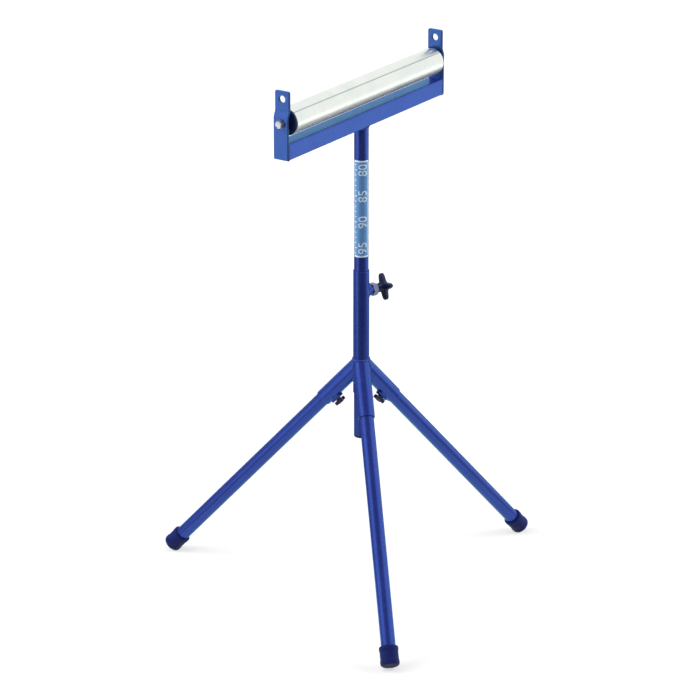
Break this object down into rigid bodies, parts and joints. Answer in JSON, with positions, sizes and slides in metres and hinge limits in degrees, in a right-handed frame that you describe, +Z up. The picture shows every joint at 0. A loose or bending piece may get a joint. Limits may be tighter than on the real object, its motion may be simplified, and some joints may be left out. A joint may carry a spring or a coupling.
{
  "type": "roller stand",
  "caption": "Tripod roller stand: a steel roller between end plates on a box beam, on a column that slides and swivels in a hub with plug-in legs, clamped by star grips.",
  "frame": {"origin": "on the floor, under the middle of the stand; the column axis is at x -0.0379, y -0.0629 m", "axes": "+Z up, X along the roller, -Y the side of the front leg"},
  "size_m": [0.7038, 0.6804, 1.0305],
  "materials": {
    "blue_paint": "semi-gloss blue powder coat",
    "roller_steel": "bright zinc-plated drawn tube",
    "zinc": "bright zinc plate",
    "bearing_steel": "ground steel",
    "black_plastic": "moulded black plastic",
    "rubber": "moulded black rubber"
  },
  "bodies": {
    "base": {"outer_column": "blue_paint", "leg_socket_front": "blue_paint", "leg_socket_right": "blue_paint", "leg_socket_left": "blue_paint", "column_clamp_boss": "blue_paint", "column_clamp_nut": "zinc", "leg_clamp_nut_front": "blue_paint", "leg_clamp_nut_right": "blue_paint", "leg_clamp_nut_left": "blue_paint"},
    "column_foot": {"column_plug": "black_plastic"},
    "head": {"inner_column": "blue_paint", "cross_beam": "blue_paint", "end_plate_left": "blue_paint", "end_plate_right": "blue_paint", "roller_axle": "bearing_steel", "axle_bolt_left": "zinc", "axle_bolt_right": "zinc", "axle_washer_left": "zinc", "axle_washer_right": "zinc", "axle_spacer_left": "black_plastic", "axle_spacer_right": "black_plastic", "bearing_inner_ring_left": "bearing_steel", "bearing_inner_ring_right": "bearing_steel"},
    "roller": {"roller_tube": "roller_steel", "bearing_housing_left": "black_plastic", "bearing_housing_right": "black_plastic", "bearing_outer_ring_left": "bearing_steel", "bearing_outer_ring_right": "bearing_steel"},
    "ball_cage_left": {"ball_cage_left": "bearing_steel"},
    "ball_cage_right": {"ball_cage_right": "bearing_steel"},
    "leg_front": {"leg_tube_front": "blue_paint", "foot_cap_front": "rubber"},
    "leg_right": {"leg_tube_right": "blue_paint", "foot_cap_right": "rubber"},
    "leg_left": {"leg_tube_left": "blue_paint", "foot_cap_left": "rubber"},
    "column_screw": {"column_clamp_stud": "zinc"},
    "column_grip": {"column_clamp_knob": "black_plastic"},
    "leg_screw_front": {"leg_clamp_stud_front": "zinc"},
    "leg_grip_front": {"leg_clamp_knob_front": "black_plastic"},
    "leg_screw_right": {"leg_clamp_stud_right": "zinc"},
    "leg_grip_right": {"leg_clamp_knob_right": "black_plastic"},
    "leg_screw_left": {"leg_clamp_stud_left": "zinc"},
    "leg_grip_left": {"leg_clamp_knob_left": "black_plastic"}
  },
  "joints": [
    {"name": "height_slide", "type": "slide", "parent": "base", "child": "column_foot", "axis": [0, 0, 1], "range_m": [-0.27, 0.22]},
    {"name": "head_swivel", "type": "hinge", "parent": "column_foot", "child": "head", "pos_m": [-0.03786, -0.06291, 0.44648], "axis": [0, 0, 1], "continuous": true},
    {"name": "roller_spin", "type": "hinge", "parent": "head", "child": "roller", "pos_m": [-0.03786, -0.06291, 0.97148], "axis": [1, 0, 0], "continuous": true},
    {"name": "ball_cage_left_spin", "type": "hinge", "parent": "head", "child": "ball_cage_left", "pos_m": [-0.03786, -0.06291, 0.97148], "axis": [1, 0, 0], "continuous": true},
    {"name": "ball_cage_right_spin", "type": "hinge", "parent": "head", "child": "ball_cage_right", "pos_m": [-0.03786, -0.06291, 0.97148], "axis": [1, 0, 0], "continuous": true},
    {"name": "leg_draw_front", "type": "slide", "parent": "base", "child": "leg_front", "axis": [-0.5074, -0.4442, -0.7385], "range_m": [0, 0.045]},
    {"name": "leg_draw_right", "type": "slide", "parent": "base", "child": "leg_right", "axis": [0.6383, -0.2173, -0.7385], "range_m": [0, 0.045]},
    {"name": "leg_draw_left", "type": "slide", "parent": "base", "child": "leg_left", "axis": [-0.131, 0.6615, -0.7385], "range_m": [0, 0.045]},
    {"name": "column_screw_travel", "type": "slide", "parent": "base", "child": "column_screw", "axis": [0.9466, -0.3223, 0], "range_m": [0, 0.003]},
    {"name": "column_screw_turn", "type": "hinge", "parent": "column_screw", "child": "column_grip", "pos_m": [-0.03786, -0.06291, 0.58398], "axis": [0.9466, -0.3223, 0], "range_deg": [0, 540]},
    {"name": "leg_screw_front_travel", "type": "slide", "parent": "base", "child": "leg_screw_front", "axis": [0.5556, 0.4864, -0.6743], "range_m": [0, 0.00187]},
    {"name": "leg_screw_front_turn", "type": "hinge", "parent": "leg_screw_front", "child": "leg_grip_front", "pos_m": [-0.08403, -0.10332, 0.37928], "axis": [0.5556, 0.4864, -0.6743], "range_deg": [0, 540]},
    {"name": "leg_screw_right_travel", "type": "slide", "parent": "base", "child": "leg_screw_right", "axis": [-0.6991, 0.238, -0.6743], "range_m": [0, 0.00187]},
    {"name": "leg_screw_right_turn", "type": "hinge", "parent": "leg_screw_right", "child": "leg_grip_right", "pos_m": [0.02023, -0.08268, 0.37928], "axis": [-0.6991, 0.238, -0.6743], "range_deg": [0, 540]},
    {"name": "leg_screw_left_travel", "type": "slide", "parent": "base", "child": "leg_screw_left", "axis": [0.1434, -0.7244, -0.6743], "range_m": [0, 0.00187]},
    {"name": "leg_screw_left_turn", "type": "hinge", "parent": "leg_screw_left", "child": "leg_grip_left", "pos_m": [-0.04978, -0.00271, 0.37928], "axis": [0.1434, -0.7244, -0.6743], "range_deg": [0, 540]}
  ],
  "couplings": [
    {"joint": "ball_cage_left_spin", "follows": "roller_spin", "ratio": 0.61364},
    {"joint": "ball_cage_right_spin", "follows": "roller_spin", "ratio": 0.61364},
    {"joint": "column_screw_turn", "follows": "column_screw_travel", "rad_per_m": 3141.6},
    {"joint": "leg_screw_front_turn", "follows": "leg_screw_front_travel", "rad_per_m": 5026.5},
    {"joint": "leg_screw_right_turn", "follows": "leg_screw_right_travel", "rad_per_m": 5026.5},
    {"joint": "leg_screw_left_turn", "follows": "leg_screw_left_travel", "rad_per_m": 5026.5}
  ]
}
